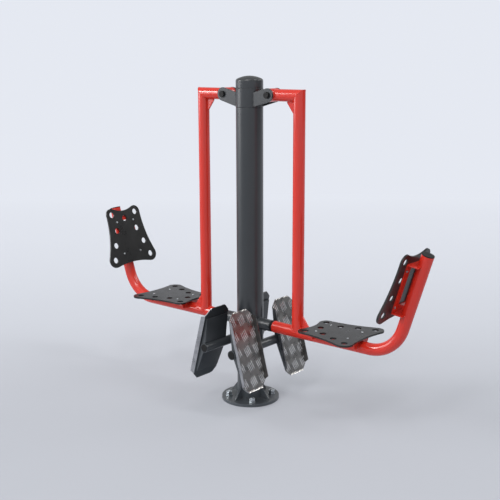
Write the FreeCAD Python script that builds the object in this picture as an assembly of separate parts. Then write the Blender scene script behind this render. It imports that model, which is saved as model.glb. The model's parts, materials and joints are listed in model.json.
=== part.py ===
import FreeCAD, Part
import math
import os

# Two-seat pendulum leg press for a park. Millimetres and degrees.
# The origin is on the ground at the post's axis. X runs along the two swing arms, Y along the
# footrest bars and Z up. The right arm is on +X, and the left half is the right half turned
# half a turn about the post.

# Post, flange and anchors
POST_RADIUS = 69.85
POST_WALL = 5.0
POST_TOP = 1553.5
FLANGE_RADIUS = 153.5
FLANGE_THICK = 16.0
ANCHOR_COUNT = 4
ANCHOR_CIRCLE_RADIUS = 115.0
ANCHOR_HOLE_RADIUS = 10.5
ANCHOR_STUD_RADIUS = 10.0
ANCHOR_NUT_FLATS = 30.0
ANCHOR_NUT_HEIGHT = 18.0
ANCHOR_WASHER_RADIUS = 18.5
ANCHOR_WASHER_THICK = 3.0
BASE_GUSSET_REACH = 57.0
BASE_GUSSET_HEIGHT = 68.0
BASE_GUSSET_THICK = 8.0
GUSSET_TIP = 6.0

# Head and cap on top of the post
HEAD_STEP = 0.75
HEAD_WALL = 8.0
HEAD_HEIGHT = 95.5
SPIGOT_LENGTH = 45.0
SPIGOT_WALL = 6.0
SLIP_CLEARANCE = 0.25
CAP_SKIRT = 34.0
CAP_DOME = 27.0
CAP_KNUCKLE = 14.0
CAP_WALL = 4.0

# Pivots
PIVOT_REACH = 75.6
PIVOT_RISE = 63.3
EAR_THICK = 9.0
EAR_SLOPE = 15.5
EAR_MARGIN = 1.0
ARM_SIDE_CLEARANCE = 2.85
HUB_MARGIN = 2.85
AXLE_RADIUS = 8.5
AXLE_THREAD_RADIUS = 8.0
AXLE_HOLE_CLEARANCE = 0.1
AXLE_FLATS = 24.0
AXLE_HEAD_HEIGHT = 6.0
AXLE_THREAD_PROUD = 1.0
RUNNING_CLEARANCE = 0.05
BEARING_RADIUS = 20.0
BEARING_WIDTH = 12.0
BEARING_SHOULDER = 2.5
SPACER_WALL = 3.0
THRUST_WASHER_RADIUS = 13.0
THRUST_WASHER_THICK = 2.0
END_PLAY = 0.3
AXLE_CAP_WALL = 1.5
AXLE_CAP_ROOM = 1.0
AXLE_CAP_EDGE = 2.5

# Arm tubes
TUBE_RADIUS = 30.15
TUBE_WALL = 3.6
ARM_REACH = 169.6
SEAT_TUBE_Z = 428.0
BEND_REACH = 570.0
BEND_RADIUS = 190.0
BACK_LEAN = 17.5
BACK_TUBE_LENGTH = 523.0
ARM_GUSSET_THICK = 8.0
ARM_GUSSET_ALONG = 43.0
ARM_GUSSET_DOWN = 56.0
TUBE_PLUG_THICK = 5.0
TUBE_PLUG_INSERT = 20.0
WELD_GAP = 0.1

# Stops
STUB_REACH = 80.0
BUFFER_LENGTH = 15.0
BUFFER_INSET = 1.2
BUFFER_STEM = 20.0
STOP_GAP = 0.3
BUMP_PLATE_THICK = 5.0

# Seat and backrest boards, with their brackets
BOARD_THICK = 9.0
BOARD_LENGTH = 263.0
NARROW_HALF = 89.5
WIDE_HALF = 136.5
NARROW_CORNER = 37.0
WIDE_CORNER = 43.0
NARROW_WAIST = 173.0
WIDE_WAIST = 547.0
SIDE_WAIST = 600.0
BOARD_HOLE_RADIUS = 17.0
MIDDLE_HOLE_INSET = 29.3
FIRST_SIDE_HOLE = 96.7
FIRST_SIDE_HALF = 75.7
SECOND_SIDE_HOLE = 180.2
SECOND_SIDE_HALF = 107.8
BRACKET_OFFSET = 140.5
BOLT_PITCH_LONG = 187.0
BOLT_PITCH_WIDE = 126.0
BOLT_RADIUS = 3.0
BOLT_CLEARANCE = 0.5
BOLT_HEAD_RADIUS = 5.5
BOLT_HEAD_HEIGHT = 2.5
BOLT_HEAD_ROUNDING = 2.0
BOLT_NUT_FLATS = 10.0
BOLT_NUT_HEIGHT = 5.0
BOLT_PROUD = 2.0
BRACKET_EDGE = 8.0
BRACKET_END = 34.0
BRACKET_SHEET = 5.0
WINDOW_LENGTH = 188.0
WINDOW_WIDTH = 62.0
WINDOW_SHIFT = -8.0
WINDOW_CORNER = 8.0
TAB_FOOT_LEVEL = 0.0
TAB_FOOT_MARGIN = 22.0
SEAT_REACH = 255.2
SEAT_STAND_OFF = 51.5
BACK_BRACKET_FROM_END = 182.5
BACK_STAND_OFF = 59.5

# Footrest bars and pedals
BAR_RADIUS = 24.15
BAR_WALL = 3.2
BAR_Z = 322.5
BAR_END_INSET = 1.5
BAR_PLUG_RADIUS = 19.0
BAR_PLUG_PROUD = 2.0
BAR_PLUG_INSERT = 15.0
PEDAL_Y = 174.0
PEDAL_LEAN = 15.0
PEDAL_STAND_OFF = 31.0
PAN_WIDTH = 179.0
PAN_LENGTH = 420.0
PAN_CORNER = 37.0
PAN_SHEET = 4.0
PAN_BEND = 3.0
RIM_HEIGHT = 24.0
RIM_FLARE = 5.7
RIM_TAPER = 14.0
HEEL_LIP = 11.0
TOE_LIP = 6.0
LIP_TILT = 25.0
BACKING_INSET = 9.0
BACKING_LENGTH = 310.0
BACKING_END_DEPTH = 8.5
BACKING_SHEET = 3.0

# Places worked out from the sizes above
Vector = FreeCAD.Vector
ORIGIN = Vector(0, 0, 0)
X_AXIS = Vector(1, 0, 0)
Y_AXIS = Vector(0, 1, 0)
Z_AXIS = Vector(0, 0, 1)
HEAD_RADIUS = POST_RADIUS + HEAD_STEP
HEAD_TOP = POST_TOP + HEAD_HEIGHT
PIVOT = Vector(HEAD_RADIUS + PIVOT_REACH, 0, POST_TOP + PIVOT_RISE)
EAR_INNER = TUBE_RADIUS + ARM_SIDE_CLEARANCE
EAR_OUTER = EAR_INNER + EAR_THICK
HUB_RADIUS = TUBE_RADIUS + HUB_MARGIN
HUB_HALF = EAR_INNER - THRUST_WASHER_THICK - END_PLAY
ARM_CORNER = PIVOT + X_AXIS * ARM_REACH
HANGER_FOOT = Vector(ARM_CORNER.x, 0, SEAT_TUBE_Z)
STUB_END = POST_RADIUS + STUB_REACH
BUFFER_FACE = STUB_END + BUFFER_LENGTH
STOP_FACE = BUFFER_FACE + STOP_GAP
BEND_CORNER = HANGER_FOOT + X_AXIS * BEND_REACH
BACK_UP = Vector(math.sin(math.radians(BACK_LEAN)), 0, math.cos(math.radians(BACK_LEAN)))
BACK_OUT = Vector(-BACK_UP.z, 0, BACK_UP.x)
BACK_END = BEND_CORNER + BACK_UP * BACK_TUBE_LENGTH
BAR_X = POST_RADIUS + BAR_RADIUS + WELD_GAP
BAR_HALF_LENGTH = PEDAL_Y + PAN_WIDTH / 2 - BAR_END_INSET
REACH = 4 * (BEND_CORNER.x + BACK_TUBE_LENGTH)


def rod(radius, start, end):
    """Solid round bar between two points."""
    span = end - start
    return Part.makeCylinder(radius, span.Length, start, span)


def pipe(radius, wall, start, end):
    """Round tube between two points."""
    return rod(radius, start, end).cut(rod(radius - wall, start, end))


def prism(points, thickness):
    """Plate from a closed outline, thickened along a vector."""
    return Part.Face(Part.makePolygon(points + [points[0]])).extrude(thickness)


def hexagon(flats, height, base, axis):
    """Hexagonal prism standing on base along axis."""
    corner = flats / math.sqrt(3)
    points = []
    for step in range(6):
        angle = math.radians(60 * step)
        points.append(Vector(corner * math.cos(angle), corner * math.sin(angle), 0))
    solid = prism(points, Z_AXIS * height)
    solid.Placement = FreeCAD.Placement(base, FreeCAD.Rotation(Z_AXIS, axis))
    return solid


def spun(points, axis):
    """Ring turned from an outline about an axis through the origin."""
    return Part.Face(Part.makePolygon(points + [points[0]])).revolve(ORIGIN, axis, 360)


def turned(shape, angle=180):
    """Copy turned about the post."""
    copy = shape.copy()
    copy.rotate(ORIGIN, Z_AXIS, angle)
    return copy


def both_sides(shape):
    """The right piece and its left twin as one group."""
    return Part.makeCompound([shape, turned(shape)])


def save(shape, node):
    """Write one node."""
    shape.exportStep("parts/" + node + ".step")


def anchor_places():
    """Points on the ground under each anchor, between the base gussets."""
    places = []
    for step in range(ANCHOR_COUNT):
        angle = math.radians(360 * (step + 0.5) / ANCHOR_COUNT)
        places.append(Vector(math.cos(angle), math.sin(angle), 0) * ANCHOR_CIRCLE_RADIUS)
    return places


def base_flange():
    flange = rod(FLANGE_RADIUS, ORIGIN, Z_AXIS * FLANGE_THICK)
    for place in anchor_places():
        flange = flange.cut(rod(ANCHOR_HOLE_RADIUS, place, place + Z_AXIS * FLANGE_THICK))
    return flange


def base_gussets():
    """Upright ribs between post and flange, with blunt tips."""
    outer = POST_RADIUS + BASE_GUSSET_REACH
    top = FLANGE_THICK + BASE_GUSSET_HEIGHT
    low = Vector(0, -BASE_GUSSET_THICK / 2, FLANGE_THICK)
    outline = [
        low,
        low + Vector(outer, 0, 0),
        low + Vector(outer, 0, GUSSET_TIP),
        low + Vector(POST_RADIUS + GUSSET_TIP, 0, BASE_GUSSET_HEIGHT),
        low + Vector(0, 0, BASE_GUSSET_HEIGHT),
    ]
    rib = prism(outline, Y_AXIS * BASE_GUSSET_THICK)
    rib = rib.cut(rod(POST_RADIUS + WELD_GAP, ORIGIN, Z_AXIS * 2 * top))
    return Part.makeCompound([turned(rib, 360 * step / ANCHOR_COUNT) for step in range(ANCHOR_COUNT)])


def anchor_washers():
    rings = []
    for place in anchor_places():
        base = place + Z_AXIS * FLANGE_THICK
        wall = ANCHOR_WASHER_RADIUS - ANCHOR_HOLE_RADIUS
        rings.append(pipe(ANCHOR_WASHER_RADIUS, wall, base, base + Z_AXIS * ANCHOR_WASHER_THICK))
    return Part.makeCompound(rings)


def anchor_nuts():
    """Nuts left open for the foundation's studs."""
    nuts = []
    for place in anchor_places():
        base = place + Z_AXIS * (FLANGE_THICK + ANCHOR_WASHER_THICK)
        nut = hexagon(ANCHOR_NUT_FLATS, ANCHOR_NUT_HEIGHT, base, Z_AXIS)
        nuts.append(nut.cut(rod(ANCHOR_STUD_RADIUS, base, base + Z_AXIS * ANCHOR_NUT_HEIGHT)))
    return Part.makeCompound(nuts)


def post_tube():
    return pipe(POST_RADIUS, POST_WALL, Z_AXIS * FLANGE_THICK, Z_AXIS * POST_TOP)


def pivot_head():
    """Thick short tube on the post, with a spigot down inside it."""
    spigot = POST_RADIUS - POST_WALL - SLIP_CLEARANCE
    bore = min(HEAD_RADIUS - HEAD_WALL, spigot - SPIGOT_WALL)
    seat = HEAD_RADIUS - HEAD_WALL
    return spun([
        Vector(bore, 0, POST_TOP - SPIGOT_LENGTH),
        Vector(spigot, 0, POST_TOP - SPIGOT_LENGTH),
        Vector(spigot, 0, POST_TOP),
        Vector(HEAD_RADIUS, 0, POST_TOP),
        Vector(HEAD_RADIUS, 0, HEAD_TOP),
        Vector(seat, 0, HEAD_TOP),
        Vector(seat, 0, HEAD_TOP - SPIGOT_LENGTH),
        Vector(bore, 0, HEAD_TOP - SPIGOT_LENGTH),
    ], Z_AXIS)


def dish(radius, knuckle, rise, level):
    """Solid dished end: a knuckle arc that runs smoothly into a flatter crown."""
    inner = radius - knuckle
    crown = (inner ** 2 + rise ** 2 - knuckle ** 2) / (2 * (rise - knuckle))
    slope = math.asin(inner / (crown - knuckle))
    half = (math.pi / 2 - slope) / 2
    join = Vector(inner + knuckle * math.sin(slope), 0, level + knuckle * math.cos(slope))
    knuckle_mid = Vector(inner + knuckle * math.cos(half), 0, level + knuckle * math.sin(half))
    crown_low = level + rise - crown
    crown_mid = Vector(crown * math.sin(slope / 2), 0, crown_low + crown * math.cos(slope / 2))
    edges = [
        Part.LineSegment(Vector(0, 0, level), Vector(radius, 0, level)),
        Part.Arc(Vector(radius, 0, level), knuckle_mid, join),
        Part.Arc(join, crown_mid, Vector(0, 0, level + rise)),
        Part.LineSegment(Vector(0, 0, level + rise), Vector(0, 0, level)),
    ]
    return Part.Face(Part.Wire([edge.toShape() for edge in edges])).revolve(ORIGIN, Z_AXIS, 360)


def post_cap():
    """Domed cap whose skirt carries on the post's line, plugged into the head."""
    brow = HEAD_TOP + CAP_SKIRT
    plug = HEAD_RADIUS - HEAD_WALL - SLIP_CLEARANCE
    hollow = plug - CAP_WALL
    cap = rod(POST_RADIUS, Z_AXIS * HEAD_TOP, Z_AXIS * brow)
    cap = cap.fuse(dish(POST_RADIUS, CAP_KNUCKLE, CAP_DOME, brow))
    cap = cap.fuse(rod(plug, Z_AXIS * (HEAD_TOP - SPIGOT_LENGTH / 2), Z_AXIS * HEAD_TOP)).removeSplitter()
    return cap.cut(rod(hollow, Z_AXIS * (HEAD_TOP - SPIGOT_LENGTH / 2), Z_AXIS * (brow - CAP_WALL)))


def pivot_ears():
    """Front and rear plates that slope up from the head and end round the pivot."""
    slope = math.radians(EAR_SLOPE)
    along = Vector(math.cos(slope), 0, math.sin(slope))
    half = HUB_RADIUS + EAR_MARGIN
    across = Vector(-along.z, 0, along.x) * half
    root = PIVOT - along * (PIVOT.x / along.x)
    edges = [
        Part.LineSegment(root - across, PIVOT - across),
        Part.Arc(PIVOT - across, PIVOT + along * half, PIVOT + across),
        Part.LineSegment(PIVOT + across, root + across),
        Part.LineSegment(root + across, root - across),
    ]
    face = Part.Face(Part.Wire([edge.toShape() for edge in edges]))
    far = PIVOT + Y_AXIS * EAR_OUTER
    near = PIVOT - Y_AXIS * EAR_OUTER
    hole = rod(AXLE_RADIUS + AXLE_HOLE_CLEARANCE, near, far)
    ears = []
    for low in (-EAR_OUTER, EAR_INNER):
        plate = face.extrude(Y_AXIS * EAR_THICK)
        plate.translate(Y_AXIS * low)
        plate = plate.cut(rod(HEAD_RADIUS + WELD_GAP, ORIGIN, Z_AXIS * 2 * HEAD_TOP))
        ears.append(plate.cut(hole))
    return Part.makeCompound(ears)


def pivot_axle():
    """Axle bolt: low hexagon head, plain shank to the far ear, threaded end."""
    near = PIVOT - Y_AXIS * EAR_OUTER
    far = PIVOT + Y_AXIS * EAR_OUTER
    tip = far + Y_AXIS * (AXLE_HEAD_HEIGHT + AXLE_THREAD_PROUD)
    head = hexagon(AXLE_FLATS, AXLE_HEAD_HEIGHT, near - Y_AXIS * AXLE_HEAD_HEIGHT, Y_AXIS)
    shank = rod(AXLE_RADIUS, near, far)
    return head.fuse([shank, rod(AXLE_THREAD_RADIUS, far, tip)]).removeSplitter()


def axle_nut():
    base = PIVOT + Y_AXIS * EAR_OUTER
    nut = hexagon(AXLE_FLATS, AXLE_HEAD_HEIGHT, base, Y_AXIS)
    bore = AXLE_THREAD_RADIUS + RUNNING_CLEARANCE
    return nut.cut(rod(bore, base, base + Y_AXIS * AXLE_HEAD_HEIGHT))


def axle_caps():
    """Round cups pushed over the bolt head and the nut."""
    inner = AXLE_FLATS / math.sqrt(3) + AXLE_CAP_ROOM
    room = AXLE_HEAD_HEIGHT + AXLE_THREAD_PROUD + AXLE_CAP_ROOM
    cups = []
    for side in (-1, 1):
        seat = PIVOT + Y_AXIS * side * EAR_OUTER
        out = Y_AXIS * side
        cup = rod(inner + AXLE_CAP_WALL, seat, seat + out * (room + AXLE_CAP_WALL))
        circles = [edge for edge in cup.Edges if edge.BoundBox.YLength < AXLE_CAP_WALL]
        rim = max(circles, key=lambda edge: side * edge.CenterOfMass.y)
        cup = cup.makeFillet(AXLE_CAP_EDGE, [rim])
        cups.append(cup.cut(rod(inner, seat, seat + out * room)))
    return Part.makeCompound(cups)


def thrust_washers():
    """Rings between the ears and the inner races of the bearings."""
    rings = []
    wall = THRUST_WASHER_RADIUS - AXLE_RADIUS - AXLE_HOLE_CLEARANCE
    for side in (-1, 1):
        outer = PIVOT + Y_AXIS * side * EAR_INNER
        rings.append(pipe(THRUST_WASHER_RADIUS, wall, outer, outer - Y_AXIS * side * THRUST_WASHER_THICK))
    return Part.makeCompound(rings)


def pivot_hub():
    """Cross tube of the arm with a bearing seat in each end."""
    near = PIVOT - Y_AXIS * HUB_HALF
    far = PIVOT + Y_AXIS * HUB_HALF
    hub = pipe(HUB_RADIUS, HUB_RADIUS - BEARING_RADIUS + BEARING_SHOULDER, near, far)
    hub = hub.cut(rod(BEARING_RADIUS, near, near + Y_AXIS * BEARING_WIDTH))
    return hub.cut(rod(BEARING_RADIUS, far - Y_AXIS * BEARING_WIDTH, far))


def hub_bearings():
    bore = AXLE_RADIUS + RUNNING_CLEARANCE
    rings = []
    for side in (-1, 1):
        outer = PIVOT + Y_AXIS * side * HUB_HALF
        inner = outer - Y_AXIS * side * BEARING_WIDTH
        rings.append(pipe(BEARING_RADIUS, BEARING_RADIUS - bore, outer, inner))
    return Part.makeCompound(rings)


def bearing_spacer():
    """Sleeve that keeps the two inner races apart."""
    half = Y_AXIS * (HUB_HALF - BEARING_WIDTH)
    bore = AXLE_RADIUS + RUNNING_CLEARANCE
    return pipe(bore + SPACER_WALL, SPACER_WALL, PIVOT - half, PIVOT + half)


def mitre_side():
    """Everything on the hanger's side of the mitre plane."""
    block = Part.makeBox(REACH, REACH, REACH, Vector(0, -REACH / 2, -REACH / 2))
    block.rotate(ORIGIN, Y_AXIS, 45)
    block.translate(ARM_CORNER)
    return block


def top_tube():
    tube = pipe(TUBE_RADIUS, TUBE_WALL, PIVOT, ARM_CORNER + X_AXIS * 2 * TUBE_RADIUS)
    hub_length = Y_AXIS * 2 * HUB_HALF
    tube = tube.cut(rod(HUB_RADIUS + WELD_GAP, PIVOT - hub_length, PIVOT + hub_length))
    return tube.cut(mitre_side())


def hanger_tube():
    tube = pipe(TUBE_RADIUS, TUBE_WALL, HANGER_FOOT, ARM_CORNER + Z_AXIS * 2 * TUBE_RADIUS)
    run = X_AXIS * 2 * TUBE_RADIUS
    tube = tube.cut(rod(TUBE_RADIUS + WELD_GAP, HANGER_FOOT - run, HANGER_FOOT + run))
    return tube.common(mitre_side())


def seat_tube():
    """Straight run under the seat, one bend, then the leaning run behind the back."""
    bend = math.radians(90 - BACK_LEAN)
    setback = BEND_RADIUS * math.tan(bend / 2)
    start = Vector(STOP_FACE + BUMP_PLATE_THICK, 0, SEAT_TUBE_Z)
    bend_start = BEND_CORNER - X_AXIS * setback
    bend_end = BEND_CORNER + BACK_UP * setback
    centre = bend_start + Z_AXIS * BEND_RADIUS
    ring = Part.Face(Part.Wire(Part.makeCircle(TUBE_RADIUS, bend_start, X_AXIS)))
    ring = ring.cut(Part.Face(Part.Wire(Part.makeCircle(TUBE_RADIUS - TUBE_WALL, bend_start, X_AXIS))))
    elbow = ring.revolve(centre, -Y_AXIS, math.degrees(bend)).Solids[0]
    run = pipe(TUBE_RADIUS, TUBE_WALL, start, bend_start)
    rise = pipe(TUBE_RADIUS, TUBE_WALL, bend_end, BACK_END)
    return run.fuse([elbow, rise]).removeSplitter()


def bump_plate():
    """Disc that closes the seat tube and meets the buffer."""
    face = Vector(STOP_FACE, 0, SEAT_TUBE_Z)
    return rod(TUBE_RADIUS, face, face + X_AXIS * BUMP_PLATE_THICK)


def back_tube_plug():
    """Moulded plug in the leaning run's open end."""
    insert = rod(TUBE_RADIUS - TUBE_WALL - SLIP_CLEARANCE, BACK_END - BACK_UP * TUBE_PLUG_INSERT, BACK_END)
    return insert.fuse(rod(TUBE_RADIUS, BACK_END, BACK_END + BACK_UP * TUBE_PLUG_THICK)).removeSplitter()


def corner_gusset(corner, along, down):
    """Plate in the inner corner of two tubes whose axes meet at corner."""
    near = TUBE_RADIUS + GUSSET_TIP
    low = corner - Y_AXIS * ARM_GUSSET_THICK / 2
    outline = [
        low,
        low + along * (TUBE_RADIUS + ARM_GUSSET_ALONG),
        low + along * (TUBE_RADIUS + ARM_GUSSET_ALONG) + down * near,
        low + along * near + down * (TUBE_RADIUS + ARM_GUSSET_DOWN),
        low + down * (TUBE_RADIUS + ARM_GUSSET_DOWN),
    ]
    plate = prism(outline, Y_AXIS * ARM_GUSSET_THICK)
    for way in (along, down):
        run = way * (ARM_GUSSET_ALONG + ARM_GUSSET_DOWN + TUBE_RADIUS)
        plate = plate.cut(rod(TUBE_RADIUS + WELD_GAP, corner - run, corner + run))
    return plate


def stop_stub():
    """Tube from the post towards the arm, shaped to the post."""
    start = Z_AXIS * SEAT_TUBE_Z
    stub = pipe(TUBE_RADIUS, TUBE_WALL, start, start + X_AXIS * STUB_END)
    return stub.cut(rod(POST_RADIUS + WELD_GAP, ORIGIN, Z_AXIS * POST_TOP))


def stop_buffer():
    """Rubber disc with a stem in the stub's bore."""
    seat = Vector(STUB_END, 0, SEAT_TUBE_Z)
    disc = rod(TUBE_RADIUS - BUFFER_INSET, seat, seat + X_AXIS * BUFFER_LENGTH)
    stem = rod(TUBE_RADIUS - TUBE_WALL - SLIP_CLEARANCE, seat - X_AXIS * BUFFER_STEM, seat)
    return disc.fuse(stem).removeSplitter()


def waist_centre(first, first_radius, second, second_radius, waist):
    """Centre of the hollow arc that touches two corner circles, on the left of first to second."""
    span = second - first
    near = first_radius + waist
    far = second_radius + waist
    along = (span.Length ** 2 + near ** 2 - far ** 2) / (2 * span.Length)
    off = math.sqrt(near ** 2 - along ** 2)
    way = span / span.Length
    return first + way * along + Vector(-way.y, way.x, 0) * off


def board_outline():
    """Round corners about the corner holes, joined by hollow sides."""
    narrow = -BRACKET_OFFSET
    wide = BOARD_LENGTH - BRACKET_OFFSET
    corners = [
        (Vector(narrow, -NARROW_HALF, 0), NARROW_CORNER, NARROW_WAIST),
        (Vector(narrow, NARROW_HALF, 0), NARROW_CORNER, SIDE_WAIST),
        (Vector(wide, WIDE_HALF, 0), WIDE_CORNER, WIDE_WAIST),
        (Vector(wide, -WIDE_HALF, 0), WIDE_CORNER, SIDE_WAIST),
    ]
    hollows = []
    for place, (corner, radius, waist) in enumerate(corners):
        following, next_radius, _ = corners[(place + 1) % len(corners)]
        hollows.append((waist_centre(corner, radius, following, next_radius, waist), waist))
    edges = []
    for place, (corner, radius, _) in enumerate(corners):
        before = (hollows[place - 1][0] - corner).normalize()
        after = (hollows[place][0] - corner).normalize()
        outward = (before + after).normalize()
        start = corner + before * radius
        leave = corner + after * radius
        edges.append(Part.Arc(start, corner + outward * radius, leave).toShape())
        centre, waist = hollows[place]
        following, next_radius, _ = corners[(place + 1) % len(corners)]
        arrive = following + (centre - following).normalize() * next_radius
        bottom = centre + ((leave + arrive) / 2 - centre).normalize() * waist
        edges.append(Part.Arc(leave, bottom, arrive).toShape())
    return Part.Wire(edges)


def bolt_places():
    """The four bolts of a board, in the bracket's own frame."""
    places = []
    for along in (-BOLT_PITCH_LONG / 2, BOLT_PITCH_LONG / 2):
        for across in (-BOLT_PITCH_WIDE / 2, BOLT_PITCH_WIDE / 2):
            places.append(Vector(along, across, 0))
    return places


def board(stand_off):
    """Seat or backrest board above a tube whose axis is the frame's X axis."""
    solid = Part.Face(board_outline()).extrude(Z_AXIS * BOARD_THICK)
    rows = [
        (0, NARROW_HALF),
        (FIRST_SIDE_HOLE, FIRST_SIDE_HALF),
        (SECOND_SIDE_HOLE, SECOND_SIDE_HALF),
        (BOARD_LENGTH, WIDE_HALF),
    ]
    cuts = [Vector(MIDDLE_HOLE_INSET - BRACKET_OFFSET, 0, 0)]
    for along, half in rows:
        cuts.append(Vector(along - BRACKET_OFFSET, half, 0))
        cuts.append(Vector(along - BRACKET_OFFSET, -half, 0))
    for place in cuts:
        solid = solid.cut(rod(BOARD_HOLE_RADIUS, place, place + Z_AXIS * BOARD_THICK))
    for place in bolt_places():
        solid = solid.cut(rod(BOLT_RADIUS + BOLT_CLEARANCE, place, place + Z_AXIS * BOARD_THICK))
    solid.translate(Z_AXIS * (stand_off - BOARD_THICK))
    return solid


def bracket(stand_off):
    """Folded sheet: a windowed web under the board and a tab down to the tube at each end."""
    half_length = BOLT_PITCH_LONG / 2 + BRACKET_END
    half_width = BOLT_PITCH_WIDE / 2 + BRACKET_EDGE
    under = stand_off - BOARD_THICK - BRACKET_SHEET
    web_corner = Vector(-half_length, -half_width, under)
    web = Part.makeBox(2 * half_length, 2 * half_width, BRACKET_SHEET, web_corner)
    window_corner = Vector(WINDOW_SHIFT - WINDOW_LENGTH / 2, -WINDOW_WIDTH / 2, under)
    window = Part.makeBox(WINDOW_LENGTH, WINDOW_WIDTH, BRACKET_SHEET, window_corner)
    uprights = [edge for edge in window.Edges if edge.BoundBox.ZLength > BRACKET_SHEET / 2]
    web = web.cut(window.makeFillet(WINDOW_CORNER, uprights))
    for place in bolt_places():
        base = place + Z_AXIS * under
        web = web.cut(rod(BOLT_RADIUS + BOLT_CLEARANCE, base, base + Z_AXIS * BRACKET_SHEET))
    foot = TUBE_RADIUS + TAB_FOOT_MARGIN
    tube = rod(TUBE_RADIUS + WELD_GAP, X_AXIS * -2 * half_length, X_AXIS * 2 * half_length)
    tabs = []
    for start in (-half_length, half_length - BRACKET_SHEET):
        outline = [
            Vector(start, -half_width, under),
            Vector(start, half_width, under),
            Vector(start, foot, TAB_FOOT_LEVEL),
            Vector(start, -foot, TAB_FOOT_LEVEL),
        ]
        tabs.append(prism(outline, X_AXIS * BRACKET_SHEET).cut(tube))
    return web.fuse(tabs).removeSplitter()


def board_bolts(stand_off):
    """Round-headed bolts through board and web, with their nuts."""
    under = stand_off - BOARD_THICK - BRACKET_SHEET
    solids = []
    for place in bolt_places():
        top = place + Z_AXIS * stand_off
        seat = place + Z_AXIS * (under - BOLT_NUT_HEIGHT)
        head = rod(BOLT_HEAD_RADIUS, top, top + Z_AXIS * BOLT_HEAD_HEIGHT)
        crown = max(head.Edges, key=lambda edge: edge.BoundBox.ZMin)
        head = head.makeFillet(BOLT_HEAD_ROUNDING, [crown])
        solids.append(head.fuse(rod(BOLT_RADIUS, seat - Z_AXIS * BOLT_PROUD, top)).removeSplitter())
        nut = hexagon(BOLT_NUT_FLATS, BOLT_NUT_HEIGHT, seat, Z_AXIS)
        solids.append(nut.cut(rod(BOLT_RADIUS + RUNNING_CLEARANCE, seat, seat + Z_AXIS * BOLT_NUT_HEIGHT)))
    return Part.makeCompound(solids)


def at_seat(shape):
    """Place a bracket-frame shape on the run under the seat, narrow end towards the post."""
    shape.translate(HANGER_FOOT + X_AXIS * SEAT_REACH)
    return shape


def at_back(shape):
    """Place a bracket-frame shape on the leaning run, narrow end up."""
    middle = BACK_END - BACK_UP * BACK_BRACKET_FROM_END
    rotation = FreeCAD.Rotation(-BACK_UP, -Y_AXIS, BACK_OUT, "XYZ")
    shape.Placement = FreeCAD.Placement(middle, rotation).multiply(shape.Placement)
    return shape


def footrest_bar():
    end = Vector(BAR_X, BAR_HALF_LENGTH, BAR_Z)
    return pipe(BAR_RADIUS, BAR_WALL, Vector(BAR_X, -BAR_HALF_LENGTH, BAR_Z), end)


def bar_end_plugs():
    plugs = []
    for side in (-1, 1):
        end = Vector(BAR_X, side * BAR_HALF_LENGTH, BAR_Z)
        out = Y_AXIS * side
        insert = rod(BAR_RADIUS - BAR_WALL - SLIP_CLEARANCE, end - out * BAR_PLUG_INSERT, end)
        plugs.append(insert.fuse(rod(BAR_PLUG_RADIUS, end, end + out * BAR_PLUG_PROUD)).removeSplitter())
    return Part.makeCompound(plugs)


def pan_plate():
    """Flat eight-sided tread plate standing across X, its back at level 0."""
    half_width = PAN_WIDTH / 2
    half_length = PAN_LENGTH / 2
    points = []
    for y, z in ((1, 1), (-1, 1), (-1, -1), (1, -1)):
        side = Vector(0, y * half_width, z * (half_length - PAN_CORNER))
        end = Vector(0, y * (half_width - PAN_CORNER), z * half_length)
        points += [side, end] if y * z > 0 else [end, side]
    return prism(points, X_AXIS * PAN_SHEET)


def with_lip(plate, way, length, hinge):
    """Bend the end of the plate that lies up (1) or down (-1) about a line at level hinge."""
    line = way * (PAN_LENGTH / 2 - length)
    block = Part.makeBox(PAN_LENGTH, PAN_LENGTH, PAN_LENGTH, Vector(1, 1, 1) * (-PAN_LENGTH / 2))
    block.translate(Z_AXIS * (line + way * PAN_LENGTH / 2))
    lip = plate.common(block)
    lip.rotate(Vector(hinge, 0, line), Y_AXIS, -LIP_TILT)
    return plate.cut(block).fuse(lip).removeSplitter()


def rim_section(level, drift, half_length):
    """Outline of a side rim at one level, drifted outward."""
    outer = PAN_WIDTH / 2 + drift
    inner = outer - PAN_SHEET
    points = [
        Vector(level, inner, -half_length),
        Vector(level, outer, -half_length),
        Vector(level, outer, half_length),
        Vector(level, inner, half_length),
    ]
    return Part.makePolygon(points + [points[0]])


def pedal_pan():
    """Tread plate with a flared rim along each side, open to the foot. Its back is at level 0."""
    pan = with_lip(with_lip(pan_plate(), -1, HEEL_LIP, 0), 1, TOE_LIP, PAN_SHEET)
    straight = PAN_LENGTH / 2 - PAN_CORNER
    root = rim_section(0, 0, straight)
    tip = rim_section(RIM_HEIGHT, RIM_FLARE, straight - RIM_TAPER)
    rim = Part.makeLoft([root, tip], True, True)
    pan = pan.fuse([rim, rim.mirror(ORIGIN, Y_AXIS)]).removeSplitter()
    folds = []
    for edge in pan.Edges:
        box = edge.BoundBox
        long_side = box.ZLength > straight and box.XMax < PAN_SHEET / 4
        if long_side and abs(box.Center.y) > PAN_WIDTH / 2 - PAN_SHEET:
            folds.append(edge)
    return pan.makeFillet(PAN_BEND, folds)


def roof(half_width, half_length, end_depth, depth):
    """Block behind level 0 that is deepest along its middle."""
    outline = [
        Vector(0, -half_width, -half_length),
        Vector(-end_depth, -half_width, -half_length),
        Vector(-depth, -half_width, 0),
        Vector(-end_depth, -half_width, half_length),
        Vector(0, -half_width, half_length),
    ]
    return prism(outline, Y_AXIS * 2 * half_width)


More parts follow.
